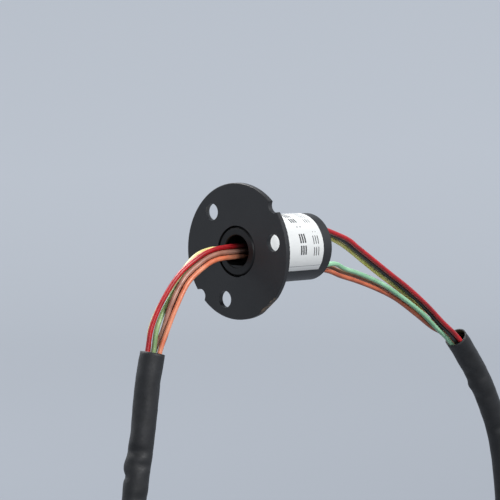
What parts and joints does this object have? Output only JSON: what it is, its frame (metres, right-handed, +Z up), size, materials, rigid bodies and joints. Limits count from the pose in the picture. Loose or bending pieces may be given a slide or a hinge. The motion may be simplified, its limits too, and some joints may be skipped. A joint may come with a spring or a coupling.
{
  "type": "capsule slip ring",
  "caption": "Capsule slip ring with a round mounting flange, a turning centre hub, and sleeved coloured wire leads at both ends.",
  "frame": {"origin": "centre of the flange rear face, the face that lies against a panel, on the spin axis", "axes": "+Y along the spin axis from the flange toward the rear cap, +Z up, the flange front looks toward -Y"},
  "size_m": [0.044, 0.1986, 0.2541],
  "materials": {
    "housing_plastic": "satin moulded, fine texture",
    "rotor_plastic": "satin moulded",
    "label_film": "smooth white film",
    "board_laminate": "solder mask green",
    "contact_gold": "gold plated",
    "bearing_steel": "ground",
    "ball_steel": "polished",
    "cage_brass": "pressed",
    "collar_metal": "turned",
    "spacer_plastic": "natural engineering plastic",
    "wire_red": "smooth vinyl",
    "wire_yellow": "smooth vinyl",
    "wire_green": "smooth vinyl",
    "wire_brown": "smooth vinyl",
    "wire_black": "smooth vinyl",
    "wire_orange": "smooth vinyl",
    "sleeve_shrink": "matte heat-shrink tubing",
    "tinned_copper": "tinned"
  },
  "bodies": {
    "stator": {"housing": "housing_plastic", "rear_cap": "housing_plastic", "label": "label_film", "upper_board": "board_laminate", "lower_board": "board_laminate", "brush_1": "contact_gold", "brush_2": "contact_gold", "brush_3": "contact_gold", "brush_4": "contact_gold", "brush_5": "contact_gold", "brush_6": "contact_gold", "front_outer_race": "bearing_steel", "rear_outer_race": "bearing_steel", "wave_washer": "bearing_steel", "rear_red_wire": "wire_red", "rear_black_wire": "wire_black", "rear_yellow_wire": "wire_yellow", "rear_green_wire": "wire_green", "rear_brown_wire": "wire_brown", "rear_orange_wire": "wire_orange", "rear_sleeve": "sleeve_shrink", "rear_tips": "tinned_copper"},
    "rotor": {"front_inner_race": "bearing_steel", "rear_inner_race": "bearing_steel", "rotor_spindle": "rotor_plastic", "stack_collar": "collar_metal", "snap_ring": "bearing_steel", "contact_ring_1": "contact_gold", "contact_ring_2": "contact_gold", "contact_ring_3": "contact_gold", "contact_ring_4": "contact_gold", "contact_ring_5": "contact_gold", "contact_ring_6": "contact_gold", "spacer_1": "spacer_plastic", "spacer_2": "spacer_plastic", "spacer_3": "spacer_plastic", "spacer_4": "spacer_plastic", "spacer_5": "spacer_plastic", "spacer_6": "spacer_plastic", "spacer_7": "spacer_plastic", "front_red_wire": "wire_red", "front_yellow_wire": "wire_yellow", "front_green_wire": "wire_green", "front_brown_wire": "wire_brown", "front_black_wire": "wire_black", "front_orange_wire": "wire_orange", "front_sleeve": "sleeve_shrink", "front_tips": "tinned_copper"},
    "front_ball_set": {"front_balls": "ball_steel", "front_cage": "cage_brass"},
    "rear_ball_set": {"rear_balls": "ball_steel", "rear_cage": "cage_brass"}
  },
  "joints": [
    {"name": "rotor_spin", "type": "hinge", "parent": "stator", "child": "rotor", "pos_m": [0, 0, 0], "axis": [0, 1, 0], "continuous": true},
    {"name": "front_ball_spin", "type": "hinge", "parent": "stator", "child": "front_ball_set", "pos_m": [0, 0, 0], "axis": [0, 1, 0], "continuous": true},
    {"name": "rear_ball_spin", "type": "hinge", "parent": "stator", "child": "rear_ball_set", "pos_m": [0, 0, 0], "axis": [0, 1, 0], "continuous": true}
  ],
  "couplings": [
    {"joint": "front_ball_spin", "follows": "rotor_spin", "ratio": 0.4467},
    {"joint": "rear_ball_spin", "follows": "rotor_spin", "ratio": 0.425}
  ]
}
